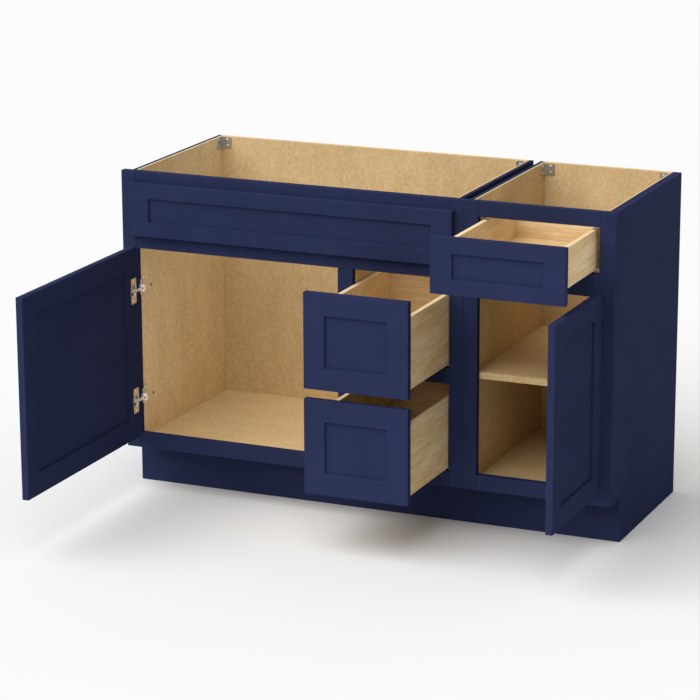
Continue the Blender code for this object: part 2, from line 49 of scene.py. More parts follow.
# Paler, yellower copies of the panel tones for the left cabinet's left side: painted light on its inner face.
SIDE_LIGHT_WITH_PAINTED_LIGHT = (0.88, 0.710, 0.435)
SIDE_DARK_WITH_PAINTED_LIGHT = (0.71, 0.550, 0.315)
PANEL_WARM = (0.66, 0.400, 0.145)
PANEL_COOL = (0.66, 0.560, 0.360)
BOARD_LIGHT = (0.83, 0.665, 0.420)
BOARD_DARK = (0.64, 0.430, 0.195)
# The paler board tone is painted light from above, mixed into the faces that look up.
BOARD_PAINTED_TOP_LIGHT = (0.76, 0.60, 0.375)
NICKEL = (0.80, 0.79, 0.77)
ZINC = (0.66, 0.66, 0.65)
BRIGHT_NICKEL = (0.88, 0.88, 0.87)
DAMPER_BLACK = (0.016, 0.016, 0.017)
FLOOR_PALE = (0.72, 0.72, 0.72)
PAINT_TONES = (0.95, 1.05)
METAL_SHADE = 0.93
PLASTIC_LIGHTER = 1.6
FLOOR_LIGHTER = 1.02

# --- Sheen and contrast of the finishes ----------------------------------------------------------
PAINT_SPECULAR = 0.002
WOOD_SPECULAR = 0.03
PAINT_ROUGHNESS = (0.44, 0.54)
PANEL_ROUGHNESS = (0.46, 0.60)
BOARD_ROUGHNESS = (0.52, 0.44)
NICKEL_ROUGHNESS = (0.16, 0.30)
SATIN_ROUGHNESS = (0.30, 0.42)
ZINC_ROUGHNESS = (0.28, 0.44)
PLASTIC_ROUGHNESS = (0.38, 0.52)
FLOOR_ROUGHNESS = 0.9
PANEL_CONTRAST = (0.42, 0.58)
BOARD_CONTRAST = (0.38, 0.62)
PANEL_SHARES = {"cloud": 0.25, "fleck": 0.50, "speck": 0.25}
BOARD_SHARES = {"bend": 0.30, "bands": 0.42, "fine": 0.28}
BOARD_PAINTED_TOP_LIGHT_SHARE = 0.55
PORE_SHARE = 0.25
SIDE_MOTTLE = 0.45

# --- Figure of the finishes, in noise cells a metre: one number, or (across the grain, along it) --
PAINT_CLOUD = 7.0
PAINT_SHEEN_CLOUD = 55.0
PAINT_GRAIN = (420.0, 16.0)
PAINT_PEEL = 850.0
PANEL_CLOUD = (15.0, 6.0)
PANEL_FLECK = (190.0, 95.0)
PANEL_SPECK = (330.0, 240.0)
PANEL_PORES = (900.0, 90.0)
PANEL_WARMTH = 120.0
BOARD_BEND = (26.0, 5.0)
BOARD_BANDS = (105.0, 7.0)
BOARD_FINE = (420.0, 30.0)
METAL_CLOUD = 240.0
METAL_BRUSHING = (2600.0, 190.0)
PLASTIC_SPECKLE = 1400.0
PLASTIC_CLOUD = 600.0
FLOOR_CLOUD = 0.6

# --- Relief of the finishes, as bump distances, and the painted highlight on the paint's edges ---
PAINT_PEEL_RELIEF = 0.000008
PAINT_GRAIN_RELIEF = 0.000010
PANEL_PORE_RELIEF = 0.00005
PANEL_FLECK_RELIEF = 0.00004
BOARD_RELIEF = 0.00008
METAL_RELIEF = 0.00001
PLASTIC_RELIEF = 0.00002
PAINTED_HIGHLIGHT_WIDTH = 0.0009
PAINTED_HIGHLIGHT_GAIN = 0.25
PAINTED_HIGHLIGHT_SHARE = 0.45

# --- Rounding and paint on the CAD nodes ---------------------------------------------------------
SHARP_ANGLE = math.radians(38)
FLAT_ANGLE = math.radians(1)
WELD_DISTANCE = 0.00005
PAINT_ARRIS = 0.0009
FRAME_ARRIS = 0.0003
PANEL_ARRIS = 0.0004
BOARD_ARRIS = 0.0007
ARRIS_STEPS = 3
BOX_WALL = 0.0127
PAINTED_SHARE = 0.72
END_PANEL_PAINTED_SHARE = 0.65

# --- Screws. The cross recess is in shares of the head's radius and height, its turn in degrees --
SCREW_RADIUS = 0.0036
SCREW_HEIGHT = 0.0018
SMALL_SCREW_RADIUS = 0.0026
SMALL_SCREW_HEIGHT = 0.0009
HEAD_CROWN = 0.65
CROSS_REACH = 0.62
CROSS_HALF_WIDTH = 0.13
CROSS_FLOOR = 0.45
CROSS_TOP = 1.6
CROSS_ROUNDING = 0.04
CROSS_TURN = 20
ROUND_STEPS = 40
PIN_STEPS = 20
ROUNDING_STEPS = 3
SAME_POINT = 1e-6
ON_AXIS = 1e-9

# --- Hinge cup: Z is out of the door, and the plate's face is at 0 -------------------------------
CUP_RIM_RADIUS = 0.0172
CUP_INNER_RADIUS = 0.0150
CUP_DEPTH = 0.0110
CUP_CORNER = 0.002
CUP_CORNER_STEPS = 5
FLANGE_STEPS = 20
CUP_FLOOR = 0.001
CUP_LIP = 0.0006
CUP_CUT_ABOVE = 0.0002
PLATE_THICKNESS = 0.0012
PLATE_HALF_WIDTH = 0.0145
PLATE_HALF_HEIGHT = 0.0345
PLATE_CORNER = 0.004
CUP_SCREW_FROM_CENTER = 0.0262
CUP_PIN_OFFSET = 0.009
CUP_PIN_RADIUS = 0.0013
CUP_PIN_TIP = 0.0003
CUP_PIN_PLAY = 0.0003
CUP_PIN_DEPTH = 0.0065
DAMPER_LOW = (-0.0045, -0.0016, -0.0105)
DAMPER_HIGH = (0.0045, 0.0016, -0.0030)
DAMPER_ROUNDING = 0.0007
DAMPER_FROM_CENTER = 0.0105

# --- Hinge arm and its link: X is out from the stile's edge, Y towards the wall, Z up ------------
ARM_OUT = (0.0015, 0.0170)
ARM_DEPTH = (0.0005, 0.0145)
ARM_HALF_HEIGHT = 0.00925
ARM_CROWN = 0.0050
ARM_CROWN_STEPS = 8
ARM_ROUNDING = 0.0011
CLIP_THICKNESS = 0.0022
CLIP_HALF_WIDTH = 0.0045
CLIP_HALF_HEIGHT = 0.021
CLIP_CORNER = 0.003
CLIP_FROM_BACK = 0.0050
CLIP_SCREW_FROM_CENTER = 0.0150
TONGUE_LOW = (0.0078, -0.0105, -0.0046)
TONGUE_HIGH = (0.0146, 0.0080, 0.0046)
TONGUE_ROUNDING = 0.0012
NOTCH_DEPTH = 0.0012
NOTCH_CUT_ABOVE = 0.003
NOTCH_ALONG = (0.0070, 0.0132)
NOTCH_HALF_HEIGHT = 0.0042
NOTCH_ROUNDING = 0.0008
CAM_SCREW_ALONG = 0.0101
LINK_PATH = ((0.0109, -0.0088), (0.0109, -0.0180), (0.0095, -0.0260), (0.0062, -0.0345))
LINK_TIP_OUT = 0.0030
LINK_TIP_PAST_CUP_CENTER = 0.0070
LINK_STEPS = 6
LINK_HALF_HEIGHT = (0.0042, 0.0038)
LINK_HALF_THICKNESS = (0.0018, 0.0014)
LINK_ROUNDING = 0.96

# --- Boss and hole on the side panel, by each hinge ----------------------------------------------
BOSS_RADIUS = 0.0100
BOSS_RIM_HEIGHT = 0.0018
BOSS_EDGE = 0.0006
BOSS_RING_HEIGHT = 0.0024
BOSS_RING_SHARES = (0.66, 0.56)
BOSS_FLOOR_HEIGHT = 0.0012
BOSS_BEHIND_FRAME = 0.0123
BOSS_ABOVE_HINGE = 0.0211
HOLE_BEHIND_FRAME = 0.0587
HOLE_BELOW_HINGE = 0.0081
HOLE_RADIUS = 0.0040
HOLE_DEPTH = 0.010
HOLE_EASE = 0.0004
HOLE_CUT_ABOVE = 0.002
SLEEVE_WALL = 0.0006
SLEEVE_FIT = 0.0001

# --- Corner brackets -----------------------------------------------------------------------------
BRACKET_STEEL = 0.0018
BRACKET_BEND = 0.002
BRACKET_CORNER = 0.005
BRACKET_SCREW_FROM_CORNER = 0.0175
BRACKET_SCREW_UP = 0.0085

# --- Shelf pins and drawer screws ----------------------------------------------------------------
PEG_RADIUS = 0.0025
PEG_TIP_RADIUS = 0.0022
PEG_DEPTH = 0.008
PEG_TIP = 0.0005
PEG_INTO_COLLAR = 0.001
COLLAR_RADIUS = 0.0048
COLLAR_HEIGHT = 0.002
COLLAR_BASE = 0.0002
COLLAR_FOOT = 0.0003
COLLAR_EDGE = 0.0004
TAB_LOW = (-0.0045, -0.0012, 0.0004)
TAB_HIGH = (0.0045, 0.0010, 0.0105)
TAB_ROUNDING = 0.0004
PIN_FROM_SHELF_END = 0.055
PIN_OUT = 0.0002
PIN_BELOW_SHELF = 0.0013
DRAWER_SCREW_FROM_SIDE = 0.045
DEEP_DRAWER = 0.15
DEEP_DRAWER_ROWS = (0.3, 0.75)
SHALLOW_DRAWER_ROWS = (0.5,)

# --- Floor and light -----------------------------------------------------------------------------
FLOOR_REACH = 14.0
FLOOR_DROP = 0.0005
ROOM_LIGHT = 0.48
KEY_FROM = (-0.30, -0.52, 0.80)
KEY_SPREAD = 75.0
KEY_POWER = 3.4

# --- Camera --------------------------------------------------------------------------------------
CAMERA_AT = (2.87986, -6.59829, 2.42717)
CAMERA_TURN = -0.4129
CAMERA_TILT = -0.2658
CAMERA_ROLL = -0.0037
CAMERA_LENS = 149.46
CAMERA_SENSOR = 36.0
CAMERA_REACH = 60.0

# --- Names. Each side goes with the way from it towards the middle, along X ----------------------
X, Y, Z = range(3)
SIDES = {"left": 1, "right": -1}
LEVELS = ("upper", "lower")
DRAWERS = ("upper", "lower", "right")

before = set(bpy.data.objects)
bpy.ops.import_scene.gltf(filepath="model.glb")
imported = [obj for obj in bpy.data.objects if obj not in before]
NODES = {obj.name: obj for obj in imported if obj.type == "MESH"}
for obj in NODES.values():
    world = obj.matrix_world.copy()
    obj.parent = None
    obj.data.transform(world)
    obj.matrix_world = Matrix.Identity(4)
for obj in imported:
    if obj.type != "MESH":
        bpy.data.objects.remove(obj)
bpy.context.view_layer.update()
FRAME_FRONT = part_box("left_frame_outer_stile")[0].y
FRAME_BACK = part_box("left_frame_outer_stile")[1].y
CLIP_MIDDLE = FRAME_BACK - FRAME_FRONT - CLIP_FROM_BACK


# --- Materials -----------------------------------------------------------------------------------
class Finish:
    """A material being put together: a Principled shader, and helpers that add nodes before it."""

    def __init__(self, name):
        self.material = bpy.data.materials.new(name)
        self.material.use_nodes = True
        self.tree = self.material.node_tree
        self.shader = self.tree.nodes["Principled BSDF"]
        self.place = self.add("ShaderNodeTexCoord").outputs["Object"]
        self.normal = self.add("ShaderNodeNewGeometry").outputs["Normal"]

    def add(self, kind, **settings):
        node = self.tree.nodes.new(kind)
        for key, value in settings.items():
            setattr(node, key, value)
        return node

    def feed(self, socket, value):
        """Links a socket to another one, or sets its value."""
        if isinstance(value, bpy.types.NodeSocket):
            self.tree.links.new(value, socket)
        elif isinstance(value, tuple) and len(value) == 3 and socket.type == "RGBA":
            socket.default_value = (*value, 1)
        else:
            socket.default_value = value

    def math(self, operation, *values):
        node = self.add("ShaderNodeMath", operation=operation)
        for socket, value in zip(node.inputs, values):
            self.feed(socket, value)
        return node.outputs[0]

    def stretched(self, scales, offset=(0, 0, 0)):
        """Coordinates scaled by a different amount along each axis."""
        node = self.add("ShaderNodeMapping")
        self.feed(node.inputs["Vector"], self.place)
        node.inputs["Scale"].default_value = scales
        node.inputs["Location"].default_value = offset
        return node.outputs[0]

    def noise(self, scale, vector=None, detail=3.0, roughness=0.55):
        node = self.add("ShaderNodeTexNoise")
        self.feed(node.inputs["Vector"], vector or self.place)
        node.inputs["Scale"].default_value = scale
        node.inputs["Detail"].default_value = detail
        node.inputs["Roughness"].default_value = roughness
        return node.outputs["Fac"]

    def figure(self, grain, scales, shift=(0, 0, 0), **settings):
        """Noise drawn out along the grain's axis, with its scales across and along it."""
        across, along = scales
        stretch = tuple(along if i == grain else across for i in range(3))
        return self.noise(1.0, self.stretched(stretch, shift), **settings)

    def band(self, value, low, high, to_low=0.0, to_high=1.0):
        """The value taken from the range low to high onto to_low to to_high, and held at its ends."""
        node = self.add("ShaderNodeMapRange")
        for name, setting in zip(("Value", "From Min", "From Max", "To Min", "To Max"),
                                 (value, low, high, to_low, to_high)):
            self.feed(node.inputs[name], setting)
        return node.outputs["Result"]

    def mix(self, factor, first, second):
        node = self.add("ShaderNodeMix", data_type="RGBA")
        self.feed(node.inputs["Factor"], factor)
        self.feed(node.inputs["A"], first)
        self.feed(node.inputs["B"], second)
        return node.outputs["Result"]

    def axis(self, vector, index):
        node = self.add("ShaderNodeSeparateXYZ")
        self.feed(node.inputs[0], vector)
        return node.outputs[index]

    def edges(self, radius, gain):
        """Near 1 on the piece's sharp edges and 0 away from them."""
        rounded = self.add("ShaderNodeBevel", samples=4)
        rounded.inputs["Radius"].default_value = radius
        product = self.add("ShaderNodeVectorMath", operation="DOT_PRODUCT")
        self.feed(product.inputs[0], rounded.outputs[0])
        self.feed(product.inputs[1], self.normal)
        return self.band(product.outputs["Value"], 1.0, 1.0 - gain)

    def bump(self, height, distance, below=None):
        node = self.add("ShaderNodeBump")
        node.inputs["Distance"].default_value = distance
        self.feed(node.inputs["Height"], height)
        if below is not None:
            self.feed(node.inputs["Normal"], below)
        return node.outputs[0]

    def done(self, color, roughness, normal=None, **constants):
        self.feed(self.shader.inputs["Base Color"], color)
        self.feed(self.shader.inputs["Roughness"], roughness)
        if normal is not None:
            self.feed(self.shader.inputs["Normal"], normal)
        for name, value in constants.items():
            self.shader.inputs[name.replace("_", " ")].default_value = value
        return self.material


def paint_parts(m, grain):
    """Colour, roughness and bump of sprayed navy paint, with the wood's grain faintly under it, and a painted
    highlight of lighter navy along its sharp edges.
    """
    cloud = m.band(m.noise(PAINT_CLOUD, detail=2.0), 0.35, 0.65)
    darker, lighter = (tuple(c * tone for c in NAVY) for tone in PAINT_TONES)
    tone = m.mix(cloud, darker, lighter)
    # Painted highlight: lighter navy mixed in along the sharp edges.
    edge = m.math("MULTIPLY", m.edges(PAINTED_HIGHLIGHT_WIDTH, PAINTED_HIGHLIGHT_GAIN), PAINTED_HIGHLIGHT_SHARE)
    color = m.mix(edge, tone, NAVY_PAINTED_HIGHLIGHT)
    rough = m.band(m.noise(PAINT_SHEEN_CLOUD), 0.3, 0.7, *PAINT_ROUGHNESS)
    wood = m.figure(grain, PAINT_GRAIN, detail=2.0)
    peel = m.noise(PAINT_PEEL, detail=1.0)
    normal = m.bump(peel, PAINT_PEEL_RELIEF, m.bump(wood, PAINT_GRAIN_RELIEF))
    return color, rough, normal


def navy_paint(grain):
    m = Finish(f"navy_paint_{'xyz'[grain]}")
    color, rough, normal = paint_parts(m, grain)
    return m.done(color, rough, normal, Specular_IOR_Level=PAINT_SPECULAR)


def panel_parts(m, grain, mottle, offset, light=PANEL_LIGHT, dark=PANEL_DARK):
    """Colour, roughness and bump of clear-finished rotary veneer: short flecks, warm and cool specks.

    The mottle is the strength of the specks, and the offset moves the figure, so that panels differ.
    """
    shift = (offset, offset * 0.7, offset * 1.3)
    cloud = m.figure(grain, PANEL_CLOUD, shift, detail=2.0)
    fleck = m.figure(grain, PANEL_FLECK, shift, detail=3.0, roughness=0.7)
    speck = m.figure(grain, PANEL_SPECK, shift, detail=2.0)
    pores = m.figure(grain, PANEL_PORES, shift, detail=2.0)
    warmth = m.noise(PANEL_WARMTH, m.stretched((1.0, 1.0, 1.0), shift), detail=3.0, roughness=0.65)
    clouds = m.math("MULTIPLY", cloud, PANEL_SHARES["cloud"])
    flecks = m.math("MULTIPLY", fleck, PANEL_SHARES["fleck"])
    body = m.math("ADD", clouds, flecks)
    body = m.math("ADD", body, m.math("MULTIPLY", speck, PANEL_SHARES["speck"]))
    tone = m.mix(m.band(body, *PANEL_CONTRAST), dark, light)
    warmed = m.mix(m.band(warmth, 0.50, 0.62, 0.0, mottle), tone, PANEL_WARM)
    cooled = m.mix(m.band(warmth, 0.48, 0.38, 0.0, mottle), warmed, PANEL_COOL)
    color = m.mix(m.band(pores, 0.58, 0.80, 0.0, PORE_SHARE), cooled, dark)
    rough = m.band(fleck, 0.35, 0.65, *PANEL_ROUGHNESS)
    normal = m.bump(pores, PANEL_PORE_RELIEF, m.bump(fleck, PANEL_FLECK_RELIEF))
    return color, rough, normal


def plywood(name, grain, mottle, offset):
    m = Finish(name)
    return m.done(*panel_parts(m, grain, mottle, offset), Specular_IOR_Level=WOOD_SPECULAR)


def painted_side(node, painted_share, painted_low, offset, light=PANEL_LIGHT, dark=PANEL_DARK):
    """A side panel: clear inside, and painted on its outer face and the outer share of its edges."""
    low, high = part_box(node)
    width = high.x - low.x
    border = low.x + width * painted_share if painted_low else high.x - width * painted_share
    m = Finish(f"side_{node}")
    painted = m.math("LESS_THAN" if painted_low else "GREATER_THAN", m.axis(m.place, X), border)
    wood_color, wood_rough, wood_normal = panel_parts(m, Z, SIDE_MOTTLE, offset, light, dark)
    navy_color, navy_rough, navy_normal = paint_parts(m, Z)
    color = m.mix(painted, wood_color, navy_color)
    rougher = m.math("MULTIPLY", painted, m.math("SUBTRACT", navy_rough, wood_rough))
    rough = m.math("ADD", rougher, wood_rough)
    return m.done(color, rough, m.mix(painted, wood_normal, navy_normal), Specular_IOR_Level=PAINT_SPECULAR)


def board_figure(m, grain, offset):
    """Straight-grained solid birch: a broad bend, bands and fine lines along one axis."""
    shift = (offset, offset * 1.7, offset * 0.6)
    bend = m.figure(grain, BOARD_BEND, shift, detail=1.0)
    bands = m.figure(grain, BOARD_BANDS, shift, detail=3.0, roughness=0.6)
    fine = m.figure(grain, BOARD_FINE, shift, detail=2.0)
    bends = m.math("MULTIPLY", bend, BOARD_SHARES["bend"])
    broad = m.math("ADD", bends, m.math("MULTIPLY", bands, BOARD_SHARES["bands"]))
    return m.math("ADD", broad, m.math("MULTIPLY", fine, BOARD_SHARES["fine"]))


def board_parts(m, figure):
    """Colour, roughness and bump of a board, with painted light from above that makes the edges facing up
    paler.
    """
    tone = m.mix(m.band(figure, *BOARD_CONTRAST), BOARD_DARK, BOARD_LIGHT)
    # Painted top light: faces that look up are mixed towards a paler tone.
    facing_up = m.band(m.axis(m.normal, Z), 0.5, 0.8)
    color = m.mix(m.math("MULTIPLY", facing_up, BOARD_PAINTED_TOP_LIGHT_SHARE), tone, BOARD_PAINTED_TOP_LIGHT)
    return color, m.band(figure, 0.40, 0.60, *BOARD_ROUGHNESS), m.bump(figure, BOARD_RELIEF)


def solid_birch(name, grain, offset):
    m = Finish(name)
    return m.done(*board_parts(m, board_figure(m, grain, offset)), Specular_IOR_Level=WOOD_SPECULAR)


def drawer_birch(node, offset):
    """A drawer box: grain runs along each board, so it turns at the corners."""
    low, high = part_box(node)
    m = Finish(f"birch_{node}")
    from_middle = m.math("ABSOLUTE", m.math("SUBTRACT", m.axis(m.place, X), (low.x + high.x) / 2))
    on_side = m.math("GREATER_THAN", from_middle, (high.x - low.x) / 2 - BOX_WALL)
    ends = board_figure(m, X, offset)
    sides = board_figure(m, Y, offset + 3.0)
    figure = m.math("ADD", ends, m.math("MULTIPLY", on_side, m.math("SUBTRACT", sides, ends)))
    return m.done(*board_parts(m, figure), Specular_IOR_Level=WOOD_SPECULAR)


def plated_metal(name, tone, roughness):
    m = Finish(name)
    cloud = m.band(m.noise(METAL_CLOUD, detail=2.0), 0.35, 0.65)
    color = m.mix(cloud, tuple(c * METAL_SHADE for c in tone), tone)
    brushed = m.figure(Z, METAL_BRUSHING, detail=2.0)
    rough = m.band(brushed, 0.3, 0.7, *roughness)
    return m.done(color, rough, m.bump(brushed, METAL_RELIEF), Metallic=1.0)


def moulded_plastic():
    m = Finish("damper_plastic")
    speckle = m.band(m.noise(PLASTIC_SPECKLE), 0.35, 0.65)
    color = m.mix(speckle, DAMPER_BLACK, tuple(c * PLASTIC_LIGHTER for c in DAMPER_BLACK))
    rough = m.band(m.noise(PLASTIC_CLOUD), 0.3, 0.7, *PLASTIC_ROUGHNESS)
    return m.done(color, rough, m.bump(speckle, PLASTIC_RELIEF))


NICKEL_PLATE = plated_metal("nickel_plate", NICKEL, NICKEL_ROUGHNESS)
SATIN_NICKEL = plated_metal("satin_nickel", BRIGHT_NICKEL, SATIN_ROUGHNESS)
ZINC_PLATE = plated_metal("zinc_plate_finish", ZINC, ZINC_ROUGHNESS)
DAMPER_PLASTIC = moulded_plastic()
PAINT = {grain: navy_paint(grain) for grain in (X, Z)}


# --- Mesh building -------------------------------------------------------------------------------
def finish_mesh(name, shape):
    """A mesh from a bmesh, with doubled points merged, smooth except across sharp angles."""
    mesh = bpy.data.meshes.new(name)
    bmesh.ops.remove_doubles(shape, verts=shape.verts, dist=SAME_POINT)
    bmesh.ops.recalc_face_normals(shape, faces=shape.faces)
    shape.to_mesh(mesh)
    shape.free()
    smooth(mesh)
    return mesh


def smooth(mesh):
    mesh.shade_smooth()
    mesh.set_sharp_from_angle(angle=SHARP_ANGLE)


def lathe(profile, steps=ROUND_STEPS):
    """A closed solid turned about local Z from (radius, height) points that start and end on the axis."""
    shape = bmesh.new()
    rings = []
    for radius, height in profile:
        if radius < ON_AXIS:
            rings.append([shape.verts.new((0, 0, height))])
            continue
        angles = [2 * math.pi * i / steps for i in range(steps)]
        rings.append([shape.verts.new((radius * math.cos(a), radius * math.sin(a), height)) for a in angles])
    for first, second in zip(rings, rings[1:]):
        for i in range(steps):
            corners = [first[i % len(first)], first[(i + 1) % len(first)],
                       second[(i + 1) % len(second)], second[i % len(second)]]
            unique = list(dict.fromkeys(corners))
            if len(unique) > 2:
                shape.faces.new(unique)
    return shape


def arc(center, radius, start, end, steps=8):
    """Points on an arc, with angles in degrees."""
    angles = [math.radians(start + (end - start) * i / steps) for i in range(steps + 1)]
    return [(center[0] + radius * math.cos(a), center[1] + radius * math.sin(a)) for a in angles]


def quarter(step=15):
    """Angles from 0 to 90 degrees, in radians, with the step in degrees."""
    return [math.radians(a) for a in range(0, 91, step)]


def prism(outline, low, high):
    """An outline in local XY raised along local Z from low to high."""
    shape = bmesh.new()
    bottom = [shape.verts.new((x, y, low)) for x, y in outline]
    top = [shape.verts.new((x, y, high)) for x, y in outline]
    shape.faces.new(bottom)
    shape.faces.new(top)
    for i, vert in enumerate(bottom):
        j = (i + 1) % len(bottom)
        shape.faces.new((vert, bottom[j], top[j], top[i]))
    return shape


def skin(shape, loops):
    """Joins each loop of points to the next with faces, and closes both ends."""
    for first, second in zip(loops, loops[1:]):
        for i in range(len(first)):
            j = (i + 1) % len(first)
            shape.faces.new((first[i], first[j], second[j], second[i]))
    shape.faces.new(loops[0])
    shape.faces.new(loops[-1])


def rounded_rectangle(half_width, half_height, radius):
    x, y = half_width - radius, half_height - radius
    corners = (((x, y), 0), ((-x, y), 90), ((-x, -y), 180), ((x, -y), 270))
    return [point for center, start in corners for point in arc(center, radius, start, start + 90)]


def round_edges(shape, edges, radius):
    bmesh.ops.bevel(shape, geom=edges, offset=radius, segments=ROUNDING_STEPS, profile=0.5, affect="EDGES")


def rounded_block(low, high, radius):
    """A block with all its edges rounded."""
    shape = bmesh.new()
    low, high = Vector(low), Vector(high)
    bmesh.ops.create_cube(shape, size=1.0)
    bmesh.ops.scale(shape, vec=high - low, verts=shape.verts)
    bmesh.ops.translate(shape, vec=(low + high) / 2, verts=shape.verts)
    round_edges(shape, shape.edges[:], radius)
    return shape


def in_scene(name, data):
    """A new object, linked to the scene."""
    made = bpy.data.objects.new(name, data)
    bpy.context.scene.collection.objects.link(made)
    return made


def carved(name, base, changes):
    """The base solid after EXACT booleans with (operation, solid) changes, as one mesh."""
    made = in_scene(name, finish_mesh(name, base))
    others = []
    for operation, shape in changes:
        other = in_scene(name + "_tool", finish_mesh(name + "_tool", shape))
        others.append(other)
        change = made.modifiers.new("change", "BOOLEAN")
        change.operation = operation
        change.solver = "EXACT"
        change.object = other
    bpy.context.view_layer.update()
    mesh = bpy.data.meshes.new_from_object(made.evaluated_get(bpy.context.evaluated_depsgraph_get()))
    for item in (made, *others):
        bpy.data.objects.remove(item, do_unlink=True)
    smooth(mesh)
    return mesh


def face_x(node, toward):
    """X of the node's face that looks towards +X, or towards -X where toward is negative."""
    low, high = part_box(node)
    return high.x if toward > 0 else low.x


def facing(at, normal):
    """A placement whose local Z points along normal, and whose local Y is up wherever it can be."""
    return Matrix.Translation(at) @ Vector(normal).to_track_quat("Z", "Y").to_matrix().to_4x4()


def piece(name, mesh, finish, body, place=None, replaces=()):
    """A new piece of the object, riding on its body. A mesh that has a finish already keeps it."""
    made = in_scene(name, mesh)
    if not mesh.materials:
        mesh.materials.append(finish)
    if place is not None:
        made.matrix_world = place
    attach(made, body)
    if replaces:
        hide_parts(*replaces)
    return made


# --- Screws --------------------------------------------------------------------------------------
def screw_mesh(name, radius, height, finish):
    """A pan-head screw's head with a cross recess, in its finish."""
    dome = [(radius * math.sin(a), height * (1 - HEAD_CROWN + HEAD_CROWN * math.cos(a))) for a in quarter()]
    head = lathe(dome + [(radius, 0.0), (0.0, 0.0)])
    reach, half_width = radius * CROSS_REACH, radius * CROSS_HALF_WIDTH
    recess = []
    for turn in (CROSS_TURN, CROSS_TURN + 90):
        slot = rounded_block((-reach, -half_width, height * CROSS_FLOOR),
                             (reach, half_width, height * CROSS_TOP), radius * CROSS_ROUNDING)
        bmesh.ops.rotate(slot, verts=slot.verts, matrix=Matrix.Rotation(math.radians(turn), 3, "Z"))
        recess.append(("DIFFERENCE", slot))
    mesh = carved(name, head, recess)
    mesh.materials.clear()
    mesh.materials.append(finish)
    return mesh


HINGE_SCREW = screw_mesh("hinge_screw_head", SCREW_RADIUS, SCREW_HEIGHT, SATIN_NICKEL)
SMALL_HINGE_SCREW = screw_mesh("small_hinge_screw_head", SMALL_SCREW_RADIUS, SMALL_SCREW_HEIGHT,
                               SATIN_NICKEL)
ZINC_SCREW = screw_mesh("zinc_screw_head", SCREW_RADIUS, SCREW_HEIGHT, ZINC_PLATE)


def hinge_screw(name, at, normal, body, mesh=HINGE_SCREW):
    return piece(name, mesh, SATIN_NICKEL, body, facing(at, normal))


def zinc_screw(name, at, normal, body):
    return piece(name, ZINC_SCREW, ZINC_PLATE, body, facing(at, normal))


# --- Wood and paint on the CAD nodes -------------------------------------------------------------
SIDE_FINISHES = {}


def soften(made, width):
    """Rounds a piece's arrises, after joining its faces: a CAD node's arrive split and triangulated."""
    weld = made.modifiers.new("weld", "WELD")
    weld.merge_threshold = WELD_DISTANCE
    flat = made.modifiers.new("flat_faces", "DECIMATE")
    flat.decimate_type = "DISSOLVE"
    flat.angle_limit = FLAT_ANGLE
    arris = made.modifiers.new("arris", "BEVEL")
    arris.width = width
    arris.segments = ARRIS_STEPS
    arris.limit_method = "ANGLE"
    arris.angle_limit = SHARP_ANGLE
    arris.use_clamp_overlap = True


def dress(node, material, arris=None):
    for slot in NODES[node].material_slots:
        slot.material = material
    if arris:
        soften(NODES[node], arris)


def dress_cabinet():
    """Paint and wood for the fixed parts. Each wood's last number moves its figure."""
    upright = ("outer_stile", "joint_stile", "mullion")
    for node in NODES:
        if "_frame_" in node and "door" not in node:
            dress(node, PAINT[Z] if node.endswith(upright) else PAINT[X], FRAME_ARRIS)
    for node in ("false_front", "left_cabinet_toe_kick", "right_cabinet_toe_kick"):
        dress(node, PAINT[X], PAINT_ARRIS)
    dress("right_cabinet_end_skin", PAINT[Z], PANEL_ARRIS)
    sides = {
        "left_cabinet_left_side": (PAINTED_SHARE, True),
        "left_cabinet_right_side": (PAINTED_SHARE, False),
        "right_cabinet_left_side": (PAINTED_SHARE, True),
        "right_cabinet_right_side": (END_PANEL_PAINTED_SHARE, False),
    }
    for i, (node, (share, painted_low)) in enumerate(sides.items()):
        # The left cabinet's left side takes the paler tones: painted light on its inner face.
        tones = (SIDE_LIGHT_WITH_PAINTED_LIGHT, SIDE_DARK_WITH_PAINTED_LIGHT) if node == "left_cabinet_left_side" else (PANEL_LIGHT, PANEL_DARK)
        SIDE_FINISHES[node] = painted_side(node, share, painted_low, 2.1 * i, *tones)
        dress(node, SIDE_FINISHES[node], PANEL_ARRIS)
    for i, cabinet in enumerate(SIDES):
        dress(f"{cabinet}_cabinet_back", plywood(f"back_panel_{cabinet}", Z, 0.40, 5.0 + i), PANEL_ARRIS)
        dress(f"{cabinet}_cabinet_floor", plywood(f"floor_panel_{cabinet}", X, 0.50, 8.0 + i), PANEL_ARRIS)
    dress("right_cabinet_shelf", plywood("shelf_panel", X, 0.45, 11.0), PANEL_ARRIS)
    dress("left_cabinet_divider", plywood("divider_panel", Z, 0.30, 13.0), PANEL_ARRIS)
    dress("left_cabinet_runner_filler", plywood("filler_panel", Z, 0.30, 14.0), PANEL_ARRIS)
    for i, side in enumerate(SIDES):
        dress(f"right_cabinet_{side}_cleat", solid_birch(f"cleat_birch_{side}", Y, 16.0 + i), BOARD_ARRIS)


def dress_doors_and_drawers():
    for side in SIDES:
        dress(f"{side}_door_frame", PAINT[Z], PAINT_ARRIS)
        dress(f"{side}_door_panel", PAINT[Z])
    for i, name in enumerate(DRAWERS):
        dress(f"{name}_drawer_front", PAINT[X], PAINT_ARRIS)
        dress(f"{name}_drawer_box", drawer_birch(f"{name}_drawer_box", 20.0 + 4 * i), BOARD_ARRIS)
        dress(f"{name}_drawer_bottom", plywood(f"drawer_bottom_{name}", X, 0.25, 30.0 + i))
        for side in SIDES:
            dress(f"{name}_drawer_{side}_runner", ZINC_PLATE)


